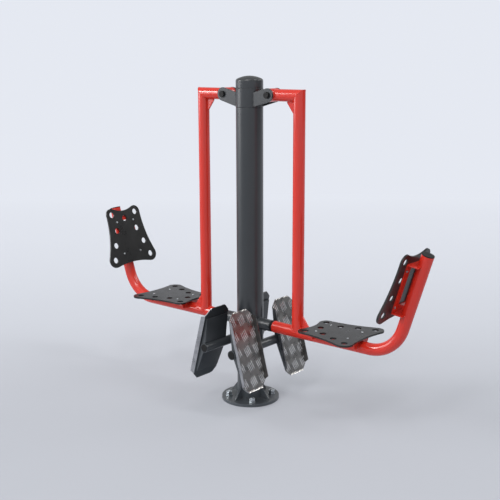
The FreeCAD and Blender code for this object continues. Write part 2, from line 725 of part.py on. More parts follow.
def pedal_backing():
    """Folded roof-shaped shell behind the pan, notched over the bar. Its front is at level 0."""
    half_width = PAN_WIDTH / 2 - BACKING_INSET
    half_length = BACKING_LENGTH / 2
    sheet = BACKING_SHEET
    shell = roof(half_width, half_length, BACKING_END_DEPTH, PEDAL_STAND_OFF)
    room = roof(half_width - sheet, half_length - sheet, BACKING_END_DEPTH - sheet, PEDAL_STAND_OFF - sheet)
    middle = X_AXIS * -PEDAL_STAND_OFF
    bar = rod(BAR_RADIUS + WELD_GAP, middle - Y_AXIS * PAN_WIDTH, middle + Y_AXIS * PAN_WIDTH)
    return shell.cut(room).cut(bar)


def at_pedal(shape, side):
    """Place a pedal piece in front of the right bar, at the side given by the sign of Y."""
    shape = shape.copy()
    shape.translate(X_AXIS * PEDAL_STAND_OFF)
    shape.rotate(ORIGIN, Y_AXIS, -PEDAL_LEAN)
    shape.translate(Vector(BAR_X, side * PEDAL_Y, BAR_Z))
    return shape


def build_frame():
    """Everything that stands still."""
    save(base_flange(), "base_flange")
    save(base_gussets(), "base_gussets")
    save(anchor_washers(), "anchor_washers")
    save(anchor_nuts(), "anchor_nuts")
    save(post_tube(), "post_tube")
    save(pivot_head(), "pivot_head")
    save(post_cap(), "post_cap")
    save(both_sides(axle_nut()), "axle_nuts")
    save(both_sides(axle_caps()), "axle_caps")
    save(both_sides(thrust_washers()), "thrust_washers")
    save(both_sides(stop_stub()), "stop_stubs")
    save(both_sides(stop_buffer()), "stop_buffers")
    save(both_sides(bar_end_plugs()), "bar_end_plugs")
    pairs = {"pivot_ears": pivot_ears(), "pivot_axle": pivot_axle(), "footrest_bar": footrest_bar()}
    for name, piece in pairs.items():
        save(piece, "right_" + name)
        save(turned(piece), "left_" + name)
    pedals = {"pedal_pan": pedal_pan(), "pedal_backing": pedal_backing()}
    for name, piece in pedals.items():
        save(at_pedal(piece, -1), "front_right_" + name)
        save(at_pedal(piece, 1), "back_right_" + name)
        save(turned(at_pedal(piece, 1)), "front_left_" + name)
        save(turned(at_pedal(piece, -1)), "back_left_" + name)


def build_arms():
    """The right swing arm, and the left one turned from it."""
    pieces = {
        "pivot_hub": pivot_hub(),
        "hub_bearings": hub_bearings(),
        "bearing_spacer": bearing_spacer(),
        "top_tube": top_tube(),
        "hanger_tube": hanger_tube(),
        "seat_tube": seat_tube(),
        "bump_plate": bump_plate(),
        "back_tube_plug": back_tube_plug(),
        "top_gusset": corner_gusset(ARM_CORNER, -X_AXIS, -Z_AXIS),
        "seat_gusset": corner_gusset(HANGER_FOOT, X_AXIS, Z_AXIS),
        "seat_bracket": at_seat(bracket(SEAT_STAND_OFF)),
        "seat_board": at_seat(board(SEAT_STAND_OFF)),
        "seat_bolts": at_seat(board_bolts(SEAT_STAND_OFF)),
        "back_bracket": at_back(bracket(BACK_STAND_OFF)),
        "back_board": at_back(board(BACK_STAND_OFF)),
        "back_bolts": at_back(board_bolts(BACK_STAND_OFF)),
    }
    for name, piece in pieces.items():
        save(piece, "right_" + name)
        save(turned(piece), "left_" + name)


os.makedirs("parts", exist_ok=True)
build_frame()
build_arms()
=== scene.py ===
import bmesh
import bpy
import json
import math
from bpy.props import FloatProperty, FloatVectorProperty, IntProperty, PointerProperty
from mathutils import Matrix, Vector

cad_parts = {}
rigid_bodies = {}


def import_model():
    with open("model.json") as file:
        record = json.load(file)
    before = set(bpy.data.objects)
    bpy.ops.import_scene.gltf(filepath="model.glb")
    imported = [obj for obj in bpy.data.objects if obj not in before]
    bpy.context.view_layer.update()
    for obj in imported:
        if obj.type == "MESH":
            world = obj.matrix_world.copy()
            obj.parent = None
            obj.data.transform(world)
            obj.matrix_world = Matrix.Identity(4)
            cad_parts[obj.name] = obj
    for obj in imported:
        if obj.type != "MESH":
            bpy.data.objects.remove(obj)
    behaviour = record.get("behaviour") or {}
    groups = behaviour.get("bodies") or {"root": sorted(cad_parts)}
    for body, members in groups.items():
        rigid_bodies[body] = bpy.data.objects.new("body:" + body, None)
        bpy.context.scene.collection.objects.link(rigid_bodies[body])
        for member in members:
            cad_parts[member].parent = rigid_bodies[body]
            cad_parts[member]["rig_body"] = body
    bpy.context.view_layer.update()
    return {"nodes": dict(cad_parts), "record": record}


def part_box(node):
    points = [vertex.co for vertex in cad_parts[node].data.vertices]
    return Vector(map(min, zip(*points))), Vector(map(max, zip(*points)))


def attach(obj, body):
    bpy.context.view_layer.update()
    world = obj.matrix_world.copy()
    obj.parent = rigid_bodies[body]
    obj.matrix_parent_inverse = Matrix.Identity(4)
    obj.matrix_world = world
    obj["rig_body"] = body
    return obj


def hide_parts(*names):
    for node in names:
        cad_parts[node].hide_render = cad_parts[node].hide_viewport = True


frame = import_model()

bl_info = {
    "name": "Leg Press Station",
    "version": (1, 0, 0),
    "blender": (4, 5, 0),
    "location": "View3D > Sidebar > Station",
    "description": "Finishes a two-seat leg press: paint, boards, tread plate, welds and studio",
    "category": "Object",
}

SIDES = ("right", "left")
ENDS = ("front", "back")
HALF_TURN = Matrix.Rotation(math.pi, 4, "Z")

# What settings of one kind share
COLOUR = {"subtype": "COLOR", "size": 3, "min": 0, "max": 1}
LENGTH = {"subtype": "DISTANCE", "unit": "LENGTH"}
ANGLE = {"subtype": "ANGLE", "unit": "ROTATION"}


class PaintSettings(bpy.types.PropertyGroup):
    arm_red: FloatVectorProperty(
        name="Arm red", description="Powder coat of the swing arms",
        default=(0.61, 0.027, 0.014), **COLOUR)
    post_grey: FloatVectorProperty(
        name="Post grey", description="Powder coat of the post, bars and pedal backings",
        default=(0.0228, 0.0262, 0.0296), **COLOUR)
    board_black: FloatVectorProperty(
        name="Board black", description="Solid colour of the seat and backrest boards",
        default=(0.010, 0.010, 0.010), **COLOUR)
    mould_black: FloatVectorProperty(
        name="Moulding black", description="Plastic of the plugs and caps, rubber of the buffers",
        default=(0.006, 0.006, 0.006), **COLOUR)
    plate_metal: FloatVectorProperty(
        name="Tread plate", description="Rolled metal between the raised bars",
        default=(0.28, 0.274, 0.266), **COLOUR)
    # The upright and level bars are one metal. The upright bars are made paler as a painted
    # highlight, and the level bars darker as painted shade.
    upright_bar_highlight: FloatVectorProperty(
        name="Tread bars", description="Metal of the upright bars, rubbed bright by shoes",
        default=(0.80, 0.79, 0.775), **COLOUR)
    level_bar_shade: FloatVectorProperty(
        name="Cross bars", description="Metal of the level bars, less rubbed",
        default=(0.32, 0.314, 0.304), **COLOUR)
    # The rims and cut edges are paler than the plate of the same metal. This is partly bright
    # sheared metal and partly a painted highlight of the light they catch.
    edge_metal_and_highlight: FloatVectorProperty(
        name="Rims", description="Sheared edges and outer rims of the pedals",
        default=(0.42, 0.425, 0.44), **COLOUR)
    # Painted shade: the inner rims and toe edges of the pedals take the plate metal darkened to
    # this share.
    rim_shade: FloatProperty(
        name="Rim dullness", description="Share of the plate's brightness that the inner rims keep",
        min=0, max=1, default=0.45)
    # Painted highlight: the heel lips face up into the light, and this pale metal paints in their
    # bright strip.
    lip_highlight_metal: FloatVectorProperty(
        name="Lips", description="Heel lips of the pedals, polished by shoes",
        default=(0.82, 0.81, 0.79), **COLOUR)
    zinc: FloatVectorProperty(
        name="Zinc", description="Plated nuts, washers and bolts",
        default=(0.60, 0.64, 0.67), **COLOUR)
    bearing_metal: FloatVectorProperty(
        name="Bearings", description="Ground steel of the bearings and spacers",
        default=(0.56, 0.56, 0.57), **COLOUR)
    peel: FloatProperty(
        name="Orange peel", description="Depth of the ripple in the grey paint",
        min=0, default=0.00012, **LENGTH)
    arm_peel: FloatProperty(
        name="Arm orange peel", description="Depth of the ripple in the red paint",
        min=0, default=0.000018, **LENGTH)
    # Painted fill light: below this height the grey paint grows paler towards the ground. It stands
    # in for softer shade under the pedals and around the base.
    painted_fill_level: FloatProperty(
        name="Dust level", description="Height up to which dust clings to the grey paint",
        min=0, default=0.6, **LENGTH)
    painted_fill: FloatProperty(
        name="Dust", description="How many times paler the grey paint is at the ground",
        min=1, default=2.8)


class EdgeSettings(bpy.types.PropertyGroup):
    board: FloatProperty(
        name="Board edges", description="Rounding of the seat and backrest boards",
        min=0, default=0.0009, **LENGTH)
    plate: FloatProperty(
        name="Plate edges", description="Rounding of flanges, ears, gussets and brackets",
        min=0, default=0.0009, **LENGTH)
    pan: FloatProperty(
        name="Pedal edges", description="Rounding of the pedal pans and backings",
        min=0, default=0.0008, **LENGTH)
    moulding: FloatProperty(
        name="Moulding edges", description="Rounding of plugs and buffers",
        min=0, default=0.0012, **LENGTH)
    seam: FloatProperty(
        name="Seam edges", description="Rounding of post, head and cap where they meet",
        min=0, default=0.0020, **LENGTH)
    crease: FloatProperty(
        name="Crease", description="Edges sharper than this are rounded",
        default=math.radians(32), **ANGLE)


class TreadSettings(bpy.types.PropertyGroup):
    bar_length: FloatProperty(
        name="Bar length", description="Length of one raised bar",
        min=0.001, default=0.054, **LENGTH)
    bar_width: FloatProperty(
        name="Bar width", description="Width of one raised bar",
        min=0.001, default=0.0066, **LENGTH)
    bar_height: FloatProperty(
        name="Bar height", description="How far a bar stands out of the plate",
        min=0.0001, default=0.0016, **LENGTH)
    bar_pitch: FloatProperty(
        name="Bar pitch", description="Distance from bar to bar inside an upright group",
        min=0.001, default=0.0118, **LENGTH)
    bars_per_group: IntProperty(
        name="Bars per group", description="Upright bars that lie side by side", min=1, default=4)
    cross_pitch: FloatProperty(
        name="Cross pitch", description="Distance from bar to bar in the level groups between",
        min=0.001, default=0.0092, **LENGTH)
    cross_bars: IntProperty(
        name="Cross bars", description="Level bars that lie side by side", min=1, default=5)
    cell_across: FloatProperty(
        name="Cell width", description="Distance between like groups across the plate",
        min=0.01, default=0.071, **LENGTH)
    cell_along: FloatProperty(
        name="Cell length", description="Distance between like groups along the plate",
        min=0.01, default=0.080, **LENGTH)
    slant: FloatProperty(
        name="Slant", description="Turn of the upright bars from the plate's length",
        default=math.radians(18.4), **ANGLE)
    half_width: FloatProperty(
        name="Half width", description="Half of the flat plate between the rims",
        default=0.0845, **LENGTH)
    half_length: FloatProperty(
        name="Half length", description="Half of the flat plate with its lips",
        default=0.2095, **LENGTH)
    corner: FloatProperty(
        name="Corner cut", description="Leg of each cut corner", default=0.037, **LENGTH)
    heel_lip: FloatProperty(
        name="Heel lip", description="Length of the strip bent up below the heel",
        default=0.011, **LENGTH)
    toe_lip: FloatProperty(
        name="Toe lip", description="Length of the strip bent back above the toes",
        default=0.006, **LENGTH)
    lip_tilt: FloatProperty(
        name="Lip tilt", description="Bend of both lips", default=math.radians(25), **ANGLE)
    sheet: FloatProperty(
        name="Sheet", description="Thickness of the plate", default=0.004, **LENGTH)
    stand_off: FloatProperty(
        name="Stand-off", description="From the footrest bar's axis to the back of the plate",
        default=0.031, **LENGTH)
    lean: FloatProperty(
        name="Lean", description="Lean of the plate away from the sitter",
        default=math.radians(15), **ANGLE)
    spread: FloatProperty(
        name="Spread", description="From the post's axis to the middle of a plate",
        default=0.174, **LENGTH)


class WeldSettings(bpy.types.PropertyGroup):
    bead: FloatProperty(
        name="Bead", description="Radius of a fillet weld's bead",
        min=0.0002, default=0.0026, **LENGTH)
    ripple: FloatProperty(
        name="Ripple", description="Distance from one ripple of a bead to the next",
        min=0.001, default=0.0048, **LENGTH)
    ripple_depth: FloatProperty(
        name="Ripple depth", description="Share of the bead's size that the ripple takes",
        min=0, max=0.5, default=0.14)
    base_gusset: FloatProperty(
        name="Base gusset", description="Half of a base gusset's thickness",
        default=0.004, **LENGTH)
    bar_root: FloatProperty(
        name="Bar root", description="Half of the weld between a footrest bar and the post",
        default=0.022, **LENGTH)
    ear_root: FloatProperty(
        name="Ear root", description="Length of the weld between an ear and the head",
        default=0.068, **LENGTH)
    arm_gusset: FloatProperty(
        name="Arm gusset", description="Half of an arm gusset's thickness",
        default=0.0045, **LENGTH)
    gusset_along: FloatProperty(
        name="Gusset along", description="Leg of an arm gusset on the level tube",
        default=0.043, **LENGTH)
    gusset_upright: FloatProperty(
        name="Gusset upright", description="Leg of an arm gusset on the upright tube",
        default=0.056, **LENGTH)
    back_lean: FloatProperty(
        name="Back lean", description="Lean of the tube behind the backrest",
        default=math.radians(17.5), **ANGLE)
    back_bracket: FloatProperty(
        name="Back bracket", description="From the tube plug's middle to the backrest bracket's",
        default=0.175, **LENGTH)
    stud_radius: FloatProperty(
        name="Stud", description="Radius of the foundation's studs", default=0.0098, **LENGTH)
    stud_circle: FloatProperty(
        name="Stud circle", description="From the post's axis to each stud",
        default=0.115, **LENGTH)
    stud_proud: FloatProperty(
        name="Stud end", description="How far a stud stands out of its nut",
        default=0.004, **LENGTH)
    stud_chamfer: FloatProperty(
        name="Stud chamfer", description="Cut around the end of a stud", default=0.0014, **LENGTH)


class StageSettings(bpy.types.PropertyGroup):
    eye: FloatVectorProperty(
        name="Camera place", description="Where the camera stands",
        subtype="TRANSLATION", unit="LENGTH", size=3, default=(2.9874, -3.5504, 1.7999))
    pitch: FloatProperty(
        name="Camera pitch", description="How far the camera looks down",
        default=math.radians(11.9726), **ANGLE)
    turn: FloatProperty(
        name="Camera turn", description="Turn of the camera about the upright",
        default=math.radians(40.0796), **ANGLE)
    roll: FloatProperty(
        name="Camera roll", description="Turn of the picture", default=math.radians(-0.2), **ANGLE)
    lens: FloatProperty(
        name="Lens", description="Focal length on a 36 mm wide frame",
        subtype="DISTANCE_CAMERA", unit="CAMERA", min=1, default=65.26)
    shift: FloatProperty(
        name="Lens shift", description="Upright shift of the picture", default=-0.001)
    near_floor: FloatVectorProperty(
        name="Near floor", description="Floor colour at the station and towards the camera",
        default=(0.505, 0.525, 0.573), **COLOUR)
    far_floor: FloatVectorProperty(
        name="Far floor", description="Colour of the backdrop, and of the floor that meets it",
        default=(0.785, 0.815, 0.885), **COLOUR)
    fade_start: FloatProperty(
        name="Fade start", description="Distance behind the station at which the floor turns paler",
        default=-0.3, **LENGTH)
    fade_end: FloatProperty(
        name="Fade end", description="Distance behind the station at which it is palest",
        default=7.0, **LENGTH)
    floor_glow: FloatProperty(
        name="Floor glow", description="Share of the near floor that no shadow darkens",
        min=0, max=1, default=0.35)
    glow_start: FloatProperty(
        name="Glow start", description="Distance behind the station at which that share grows",
        default=2.5, **LENGTH)
    glow_end: FloatProperty(
        name="Glow end", description="Distance behind the station at which it is the whole",
        default=7.5, **LENGTH)
    clear_floor: FloatProperty(
        name="Clear floor", description="Radius of the near colour at the camera's side",
        min=1, default=11.0, **LENGTH)
    backdrop_radius: FloatProperty(
        name="Backdrop radius", description="From the station to the backdrop all round",
        min=30, default=90.0, **LENGTH)
    backdrop_height: FloatProperty(
        name="Backdrop height", description="Height of the backdrop", min=1, default=24.0, **LENGTH)
    right_shade: FloatProperty(
        name="Right shade", description="Share of the backdrop's brightness on the shade card",
        min=0, max=1, default=0.25)
    card_turn: FloatProperty(
        name="Card turn", description="Turn of the shade card from the camera, to the right",
        default=math.radians(92), **ANGLE)
    card_distance: FloatProperty(
        name="Card distance", description="From the station to the shade card",
        min=1, default=20.0, **LENGTH)
    card_width: FloatProperty(
        name="Card width", description="Width of the shade card", min=1, default=26.0, **LENGTH)
    card_height: FloatProperty(
        name="Card height", description="Height of the shade card", min=1, default=7.5, **LENGTH)
    room: FloatVectorProperty(
        name="Room", description="Tint of the room's even light", default=(1.0, 1.0, 1.0), **COLOUR)
    room_light: FloatProperty(
        name="Room light", description="Strength of the room's even light", min=0, default=0.45)
    aim_height: FloatProperty(
        name="Aim height", description="Height that every lamp is turned to", default=0.8, **LENGTH)
    key_light: FloatProperty(
        name="Key light", description="Strength of the wide light from above", min=0, default=0.7)
    key_spread: FloatProperty(
        name="Key spread", description="Width of the key light in the sky",
        default=math.radians(80), **ANGLE)
    key_turn: FloatProperty(
        name="Key turn", description="Turn of the key light from the camera, to the right",
        default=math.radians(-45), **ANGLE)
    key_rise: FloatProperty(
        name="Key rise", description="Height of the key light over the horizon",
        default=math.radians(45), **ANGLE)
    key_glow: FloatProperty(
        name="Key glow", description="Brightness of the key box and of the strip at the right",
        min=0, default=9.0)
    left_glow: FloatProperty(
        name="Left glow", description="Brightness of the wide soft box at the camera's left",
        min=0, default=4.4)
    left_core: FloatProperty(
        name="Left core", description="Brightness of the small soft box above it",
        min=0, default=13.0)
    right_glow: FloatProperty(
        name="Right glow", description="Brightness of the soft box at the camera's right",
        min=0, default=3.2)
    strip_glow: FloatProperty(
        name="Strip glow", description="Brightness of the narrow strip over the camera",
        min=0, default=13.0)
    box_distance: FloatProperty(
        name="Box distance", description="From the station to the lamps",
        min=1, default=24.0, **LENGTH)


def add_node(tree, kind, sockets=None, **settings):
    """A shader node with its own settings, and a value or a link for each socket named."""
    node = tree.nodes.new(kind)
    for name, value in settings.items():
        setattr(node, name, value)
    for name, value in (sockets or {}).items():
        if isinstance(value, bpy.types.NodeSocket):
            tree.links.new(value, node.inputs[name])
        else:
            node.inputs[name].default_value = value
    return node


def new_finish(name, values):
    """A material with its shader's even values set on the sockets."""
    material = bpy.data.materials.new(name)
    material.use_nodes = True
    tree = material.node_tree
    shader = tree.nodes["Principled BSDF"]
    for socket, value in values.items():
        shader.inputs[socket].default_value = value
    place = add_node(tree, "ShaderNodeTexCoord")
    return material, tree, shader, place.outputs["Object"]


def noise(tree, place, scale, detail, roughness=0.5):
    """Cloudy pattern."""
    sockets = {"Vector": place, "Scale": scale, "Detail": detail, "Roughness": roughness}
    return add_node(tree, "ShaderNodeTexNoise", sockets).outputs["Fac"]


def shade(colour, factor):
    """The same colour, darker or paler."""
    return tuple(min(1.0, part * factor) for part in colour)


def tint(tree, pattern, dark, light, low, high):
    """Colour that runs from dark to light with a pattern."""
    ramp = add_node(tree, "ShaderNodeValToRGB", {"Fac": pattern})
    ramp.color_ramp.elements[0].position = low
    ramp.color_ramp.elements[1].position = high
    ramp.color_ramp.elements[0].color = (*dark, 1)
    ramp.color_ramp.elements[1].color = (*light, 1)
    return ramp.outputs["Color"]


def mottle(tree, shader, pattern, colour, darker, paler, low=0.35, high=0.65):
    """Base colour that a pattern makes darker and paler."""
    tone = tint(tree, pattern, shade(colour, darker), shade(colour, paler), low, high)
    tree.links.new(tone, shader.inputs["Base Color"])


def vary_gloss(tree, shader, pattern, roughness, span):
    """Roughness that grows by a span with a pattern."""
    gloss = add_node(tree, "ShaderNodeMapRange", {
        "Value": pattern, "From Min": 0.3, "From Max": 0.7,
        "To Min": roughness, "To Max": roughness + span})
    tree.links.new(gloss.outputs["Result"], shader.inputs["Roughness"])


def relief(tree, shader, pattern, depth, strength):
    """Small bumps that follow a pattern."""
    bump = add_node(
        tree, "ShaderNodeBump", {"Height": pattern, "Distance": depth, "Strength": strength})
    tree.links.new(bump.outputs["Normal"], shader.inputs["Normal"])


def powder_coat(name, colour, peel, roughness, shine):
    """Baked paint: a slightly uneven colour with the ripple of orange peel."""
    material, tree, shader, place = new_finish(name, {"Specular IOR Level": shine})
    cloud = noise(tree, place, scale=5.0, detail=3.0)
    mottle(tree, shader, cloud, colour, darker=0.97, paler=1.03)
    vary_gloss(tree, shader, noise(tree, place, scale=9.0, detail=3.0), roughness, span=0.05)
    relief(tree, shader, noise(tree, place, scale=420.0, detail=2.0), peel, strength=0.25)
    return material


def add_painted_fill(material, paint):
    """Painted fill light: make a paint paler towards the ground, where it stands in for softer
    shade.
    """
    tree = material.node_tree
    shader = tree.nodes["Principled BSDF"]
    place = tree.nodes["Texture Coordinate"].outputs["Object"]
    parts = add_node(tree, "ShaderNodeSeparateXYZ", {"Vector": place})
    amount = add_node(tree, "ShaderNodeMapRange", {
        "Value": parts.outputs["Z"], "From Min": paint.painted_fill_level, "From Max": 0.0,
        "To Min": 1.0, "To Max": paint.painted_fill}, interpolation_type="SMOOTHSTEP")
    tone = shader.inputs["Base Color"].links[0].from_socket
    paler = add_node(tree, "ShaderNodeVectorMath", {
        "Vector": tone, "Scale": amount.outputs["Result"]}, operation="SCALE")
    tree.links.new(paler.outputs["Vector"], shader.inputs["Base Color"])


def board_finish(name, colour):
    """Pressed board with a pebbled skin and paler rubbed patches."""
    material, tree, shader, place = new_finish(name, {"Specular IOR Level": 0.5})
    rub = noise(tree, place, scale=14.0, detail=5.0, roughness=0.6)
    mottle(tree, shader, rub, colour, darker=0.8, paler=1.35, low=0.3, high=0.75)
    vary_gloss(tree, shader, rub, roughness=0.26, span=0.10)
    pebbles = add_node(
        tree, "ShaderNodeTexVoronoi", {"Vector": place, "Scale": 520.0}, feature="SMOOTH_F1")
    relief(tree, shader, pebbles.outputs["Distance"], depth=0.0005, strength=0.35)
    return material


def rolled_metal(name, colour, roughness, grain):
    """Bare metal with rolling grain and a dull bloom."""
    material, tree, shader, place = new_finish(name, {"Metallic": 1.0})
    bloom = noise(tree, place, scale=22.0, detail=4.0)
    mottle(tree, shader, bloom, colour, darker=0.82, paler=1.12)
    vary_gloss(tree, shader, bloom, roughness, span=0.14)
    drawn = add_node(tree, "ShaderNodeMapping", {"Vector": place, "Scale": (1.0, 1.0, 0.08)})
    streak = noise(tree, drawn.outputs["Vector"], scale=600.0, detail=3.0)
    relief(tree, shader, streak, grain, strength=0.5)
    return material


def moulded(name, colour, roughness, grain):
    """Moulded plastic or rubber with a fine spark-eroded grain."""
    material, tree, shader, place = new_finish(name, {"Specular IOR Level": 0.25})
    cloud = noise(tree, place, scale=60.0, detail=3.0)
    mottle(tree, shader, cloud, colour, darker=0.8, paler=1.25)
    vary_gloss(tree, shader, cloud, roughness, span=0.12)
    relief(tree, shader, noise(tree, place, scale=1500.0, detail=2.0), grain, strength=0.6)
    return material


def middle_of(node):
    """Middle and half size of a frame node's box."""
    low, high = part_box(node)
    return (low + high) / 2, (high - low) / 2


def everything(shape):
    """All vertices, edges and faces of a bmesh."""
    return shape.verts[:] + shape.edges[:] + shape.faces[:]


def add_mesh(name, shape):
    """Turn a bmesh into a mesh, and let go of the bmesh."""
    mesh = bpy.data.meshes.new(name)
    shape.to_mesh(mesh)
    shape.free()
    return mesh


def add_object(name, shape, finish):
    """Turn a bmesh into an object in one finish."""
    mesh = add_mesh(name, shape)
    mesh.materials.append(finish)
    thing = bpy.data.objects.new(name, mesh)
    bpy.context.scene.collection.objects.link(thing)
    return thing


def new_piece(name, shape, finish, body):
    """Turn a bmesh into a piece that rides on a body."""
    piece = add_object(name, shape, bpy.data.materials[finish])
    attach(piece, body)
    return piece


# Vertices nearer than this are one, and faces that turn less than this are one
MERGE_DISTANCE = 2e-6
FLAT_ANGLE = math.radians(0.6)


def soften(node, rounding, crease):
    """Copy of a frame node with its sharp edges rounded."""
    shape = bmesh.new()
    shape.from_mesh(frame["nodes"][node].data)
    bmesh.ops.remove_doubles(shape, verts=shape.verts[:], dist=MERGE_DISTANCE)
    bmesh.ops.dissolve_limit(
        shape, angle_limit=FLAT_ANGLE, use_dissolve_boundaries=False,
        verts=shape.verts[:], edges=shape.edges[:])
    sharp = [
        edge for edge in shape.edges if edge.is_manifold and edge.calc_face_angle() > crease]
    bmesh.ops.bevel(
        shape, geom=sharp, offset=rounding, offset_type="OFFSET", affect="EDGES", segments=2,
        profile=0.5, material=-1, clamp_overlap=True)
    for face in shape.faces:
        face.smooth = True
    return shape


def softened_piece(node, rounding, crease):
    """Replace a node by its softened copy, in the node's own finish."""
    cad = frame["nodes"][node]
    shape = soften(node, rounding, crease)
    finish = cad.data.materials[0].name
    piece = new_piece("rounded_" + node, shape, finish, cad["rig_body"])
    piece.modifiers.new("even_shading", "WEIGHTED_NORMAL").keep_sharp = True
    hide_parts(node)
    return piece


# Finishes of a pan after the rolled plate, and the places of all five in its list. They are the
# back paint, paler edge metal that is partly a painted highlight, a painted highlight on the heel
# lips, and the plate metal darkened as painted shade on the inner rims and toe.
PAN_FINISHES = ("anthracite_powder_coat", "sheared_edge_and_highlight", "lip_highlight", "shaded_rim")
ON_PLATE, ON_BACK, ON_RIM, ON_LIP, ON_SHADED_RIM = range(5)

# Cosines between a face and the way out, up or aside that tell a pan's faces apart
PLATE_FACES_OUT = 0.985
LIP_FACES_OUT = 0.8
LIP_FACES_UP = 0.3
EDGE_FACES_UP = 0.85
BACK_FACES_OUT = -0.5
INNER_RIM_FACES_ASIDE = -0.3


def finish_pan(pan, lean, side):
    """Paint a pan's back. Give its inner rims and toe a painted shade, its heel lips a painted
    highlight, and its other rims and edges a paler metal that is partly a painted highlight.
    """
    way = 1 if side == "right" else -1
    outward = Vector((math.cos(lean) * way, 0, math.sin(lean)))
    upward = Vector((-math.sin(lean) * way, 0, math.cos(lean)))
    for name in PAN_FINISHES:
        pan.data.materials.append(bpy.data.materials[name])
    middle = sum((vert.co.y for vert in pan.data.vertices), 0.0) / len(pan.data.vertices)
    level = middle_of("right_footrest_bar")[0].z
    for face in pan.data.polygons:
        out = face.normal.dot(outward)
        up = face.normal.dot(upward)
        aside = face.normal.y * math.copysign(1, face.center.y - middle)
        lip = out > LIP_FACES_OUT and up > LIP_FACES_UP
        toe = face.center.z > level and (lip or up > EDGE_FACES_UP)
        if out < BACK_FACES_OUT:
            face.material_index = ON_BACK
        elif out > PLATE_FACES_OUT:
            face.material_index = ON_PLATE
        # Inner rims and toe edges: painted shade
        elif aside < INNER_RIM_FACES_ASIDE or toe:
            face.material_index = ON_SHADED_RIM
        else:
            # Heel lips take a painted highlight. Other rims and edges take the paler edge metal,
            # which is partly a painted highlight.
            face.material_index = ON_LIP if lip else ON_RIM


class STATION_OT_finishes(bpy.types.Operator):
    """Paint every frame node in the finish of its material slot"""

    bl_idname = "station.finishes"
    bl_label = "Finishes"

    def execute(self, context):
        paint = context.scene.station_paint
        finishes = {
            "red_paint": powder_coat(
                "red_powder_coat", paint.arm_red, paint.arm_peel, roughness=0.11, shine=0.6),
            "grey_paint": powder_coat(
                "anthracite_powder_coat", paint.post_grey, paint.peel, roughness=0.29, shine=0.66),
            "zinc_steel": rolled_metal(
                "zinc_plate", paint.zinc, roughness=0.24, grain=0.00008),
            "black_board": board_finish("pebbled_board", paint.board_black),
            "tread_plate": rolled_metal(
                "rolled_plate", paint.plate_metal, roughness=0.22, grain=0.00002),
            "black_plastic": moulded(
                "moulded_plastic", paint.mould_black, roughness=0.38, grain=0.00005),
            "rubber": moulded(
                "buffer_rubber", paint.mould_black, roughness=0.62, grain=0.00015),
            "bearing_steel": rolled_metal(
                "ground_steel", paint.bearing_metal, roughness=0.2, grain=0.00003),
        }
        # Painted fill light: the grey paint grows paler near the ground
        add_painted_fill(finishes["grey_paint"], paint)
        # Painted shade: the plate metal darkened for the inner rims and toe
        shaded_rim = shade(paint.plate_metal, paint.rim_shade)
        # Painted highlight: the paler copy of the bar metal for the upright bars
        rolled_metal("upright_bars_highlight", paint.upright_bar_highlight, roughness=0.20, grain=0.00001)
        # Paler edge metal: partly sheared metal, partly painted highlight
        rolled_metal("sheared_edge_and_highlight", paint.edge_metal_and_highlight, roughness=0.24, grain=0.00006)
        # Painted highlight on the heel lips
        rolled_metal("lip_highlight", paint.lip_highlight_metal, roughness=0.14, grain=0.00003)
        rolled_metal("shaded_rim", shaded_rim, roughness=0.24, grain=0.00003)
        # Painted shade: the darker copy of the bar metal for the level bars
        rolled_metal("level_bars_shade", paint.level_bar_shade, roughness=0.24, grain=0.00001)
        for row in frame["record"]["subparts"]:
            mesh = frame["nodes"][row["node"]].data
            mesh.materials.clear()
            mesh.materials.append(finishes[row["material_slot"]])
        return {"FINISHED"}


SIDE_PLATES = (
    "pivot_ears", "seat_gusset", "top_gusset", "seat_bracket", "back_bracket", "bump_plate")


class STATION_OT_soft_edges(bpy.types.Operator):
    """Round the sharp edges of boards, plates, pedals and mouldings"""

    bl_idname = "station.soft_edges"
    bl_label = "Soft edges"

    def execute(self, context):
        edges = context.scene.station_edges
        lean = context.scene.station_tread.lean
        sided = (
            (edges.board, ("seat_board", "back_board")),
            (edges.plate, SIDE_PLATES),
            (edges.moulding, ("back_tube_plug",)),
        )
        for rounding, names in sided:
            for name in names:
                for side in SIDES:
                    softened_piece(side + "_" + name, rounding, edges.crease)
        for end in ENDS:
            for side in SIDES:
                pedal = "%s_%s_pedal_" % (end, side)
                pan = softened_piece(pedal + "pan", edges.pan, edges.crease)
                finish_pan(pan, lean, side)
                softened_piece(pedal + "backing", edges.pan, edges.crease)
        single = (
            (edges.plate, ("base_flange", "base_gussets", "anchor_nuts")),
            (edges.seam, ("post_tube", "pivot_head", "post_cap")),
            (edges.moulding, ("stop_buffers", "bar_end_plugs")),
        )
        for rounding, nodes in single:
            for node in nodes:
                softened_piece(node, rounding, edges.crease)
        return {"FINISHED"}


# Steps in which a bar rises: share of its height, and what stays of its length and its width
ARCHED_STEPS = ((0.8, 0.97, 0.85), (0.32, 0.92, 0.62), (0.13, 0.8, 0.35))
FLAT_STEPS = ((1.25, 0.97, 0.9),)

# Share of a bar's height that starts inside the plate
SUNK_SHARE = 0.25


